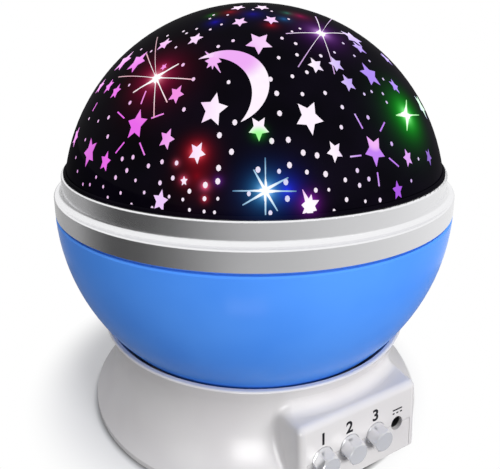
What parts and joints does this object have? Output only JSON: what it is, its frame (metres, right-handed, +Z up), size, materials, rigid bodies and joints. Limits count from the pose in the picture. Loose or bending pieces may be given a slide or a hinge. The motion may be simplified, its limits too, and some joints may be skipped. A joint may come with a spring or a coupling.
{
  "type": "star projector night light",
  "caption": "Night light whose glossy ball, a black star dome on a blue bowl, turns on a flared white base with push buttons, a gear drive and a battery bay.",
  "frame": {"origin": "on the table, under the ball's turning axis", "axes": "+Z up along the ball's turning axis, -Y out through the control panel with the buttons, +X to the right seen from the panel's front"},
  "size_m": [0.126, 0.126, 0.1293],
  "materials": {
    "white_shell": "glossy white ABS",
    "button_plastic": "glossy white ABS",
    "ring_plastic": "glossy light grey-white",
    "plate_plastic": "matt white",
    "column_plastic": "matt white",
    "blue_plastic": "glossy blue ABS",
    "dome_plastic": "glossy black with clear star windows",
    "gear_plastic": "natural acetal",
    "steel": "zinc-plated steel",
    "contact_metal": "nickel-plated spring steel",
    "board": "green circuit board",
    "black_parts": "moulded black",
    "stem_plastic": "light grey nylon",
    "motor_metal": "plated steel can",
    "cell_wrap": "plain dark cell wrapper",
    "rubber_grey": "soft rubber",
    "led_white": "clear epoxy, warm white lamp",
    "led_red": "red tinted epoxy",
    "led_green": "green tinted epoxy",
    "led_blue": "blue tinted epoxy"
  },
  "bodies": {
    "base": {"base_housing": "white_shell", "bottom_cover": "white_shell", "housing_screws": "steel", "motor_screws": "steel", "column_screws": "steel", "positive_contacts": "contact_metal", "negative_contacts": "contact_metal", "main_board": "board", "board_chips": "black_parts", "power_socket": "black_parts", "gear_motor": "motor_metal", "light_column": "column_plastic", "lamp_board": "board", "thrust_washer": "gear_plastic", "push_switch_1": "black_parts", "push_switch_2": "black_parts", "push_switch_3": "black_parts", "battery_1": "cell_wrap", "battery_2": "cell_wrap", "battery_3": "cell_wrap", "battery_4": "cell_wrap", "rubber_foot_1": "rubber_grey", "rubber_foot_2": "rubber_grey", "rubber_foot_3": "rubber_grey", "rubber_foot_4": "rubber_grey", "led_1": "led_white", "led_2": "led_red", "led_3": "led_green", "led_4": "led_blue"},
    "ball": {"bowl": "blue_plastic", "trim_ring": "ring_plastic", "lamp_plate": "plate_plastic", "spin_gear": "gear_plastic", "gear_screws": "steel"},
    "dome": {"star_dome": "dome_plastic"},
    "drive": {"drive_pinion": "gear_plastic", "motor_shaft": "steel"},
    "door": {"battery_door": "white_shell", "door_screw": "steel"},
    "key_1": {"button_1": "button_plastic", "switch_stem_1": "stem_plastic"},
    "key_2": {"button_2": "button_plastic", "switch_stem_2": "stem_plastic"},
    "key_3": {"button_3": "button_plastic", "switch_stem_3": "stem_plastic"}
  },
  "joints": [
    {"name": "ball_spin", "type": "hinge", "parent": "base", "child": "ball", "pos_m": [0, 0, 0.0235], "axis": [0, 0, 1], "continuous": true},
    {"name": "pinion_spin", "type": "hinge", "parent": "base", "child": "drive", "pos_m": [0, -0.028, 0.0185], "axis": [0, 0, 1], "continuous": true},
    {"name": "dome_lift", "type": "slide", "parent": "ball", "child": "dome", "axis": [0, 0, 1], "range_m": [0, 0.06]},
    {"name": "door_drop", "type": "slide", "parent": "base", "child": "door", "axis": [0, 0, -1], "range_m": [0, 0.03]},
    {"name": "key_1_press", "type": "slide", "parent": "base", "child": "key_1", "axis": [0, 1, 0], "range_m": [0, 0.001], "stiffness_N_per_m": 400, "springref_m": -0.001},
    {"name": "key_2_press", "type": "slide", "parent": "base", "child": "key_2", "axis": [0, 1, 0], "range_m": [0, 0.001], "stiffness_N_per_m": 400, "springref_m": -0.001},
    {"name": "key_3_press", "type": "slide", "parent": "base", "child": "key_3", "axis": [0, 1, 0], "range_m": [0, 0.001], "stiffness_N_per_m": 400, "springref_m": -0.001}
  ],
  "couplings": [
    {"joint": "pinion_spin", "follows": "ball_spin", "ratio": -4}
  ]
}
